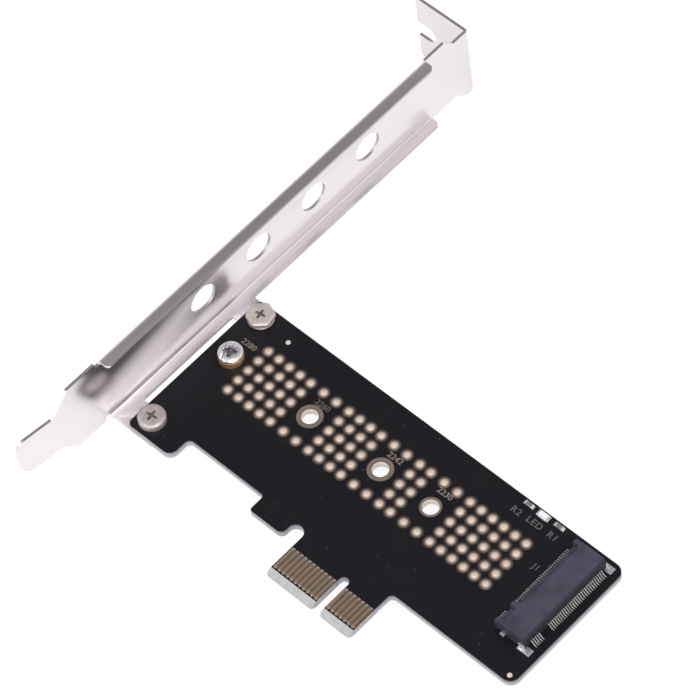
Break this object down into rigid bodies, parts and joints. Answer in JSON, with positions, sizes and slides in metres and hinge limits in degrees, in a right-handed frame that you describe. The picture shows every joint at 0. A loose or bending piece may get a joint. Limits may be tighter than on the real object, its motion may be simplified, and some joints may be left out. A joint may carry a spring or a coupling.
{
  "type": "nvme adapter card",
  "caption": "Adapter card that carries an M.2 NVMe drive in a slim PCIe slot, black board with edge fingers, drive socket, standoff and full-height steel bracket.",
  "frame": {"origin": "middle of the key notch on the board's bottom edge, at the level of the component face", "axes": "+X along the card away from the bracket, +Y from the edge fingers to the top edge, +Z out of the component face"},
  "size_m": [0.1081, 0.12, 0.0207],
  "materials": {
    "solder_mask": "satin black solder mask on glass-epoxy board",
    "bracket_steel": "bright nickel plate on folded sheet",
    "screw_nickel": "warm nickel plate",
    "screw_bright": "bright nickel plate",
    "brass_turned": "turned brass",
    "connector_plastic": "slate moulded plastic",
    "tinned_contact": "tinned sheet",
    "solder": "reflowed solder",
    "finger_gold": "thin dull gold plate",
    "gold_plate": "thin gold plate",
    "ring_copper": "dull plated ring",
    "pad_tin": "pale plated dots",
    "resistor_ceramic": "glazed ceramic",
    "led_white": "white moulded",
    "led_clear": "milky clear"
  },
  "bodies": {
    "root": {"bracket": "bracket_steel", "board": "solder_mask", "bracket_screw_low": "screw_nickel", "bracket_screw_top": "screw_nickel", "connector_housing": "connector_plastic", "contacts_front": "tinned_contact", "contacts_rear": "tinned_contact", "fiducials": "gold_plate", "fingers_back": "finger_gold", "fingers_front": "finger_gold", "front_lug": "tinned_contact", "hold_down_high": "tinned_contact", "hold_down_low": "tinned_contact", "hole_ring_30": "ring_copper", "hole_ring_42": "ring_copper", "hole_ring_60": "ring_copper", "led_base": "led_white", "led_ends": "tinned_contact", "led_lens": "led_clear", "module_screw": "screw_bright", "r1_body": "resistor_ceramic", "r1_ends": "solder", "r2_body": "resistor_ceramic", "r2_ends": "solder", "standoff": "brass_turned", "standoff_nut": "brass_turned", "thermal_pads": "pad_tin"}
  },
  "joints": []
}
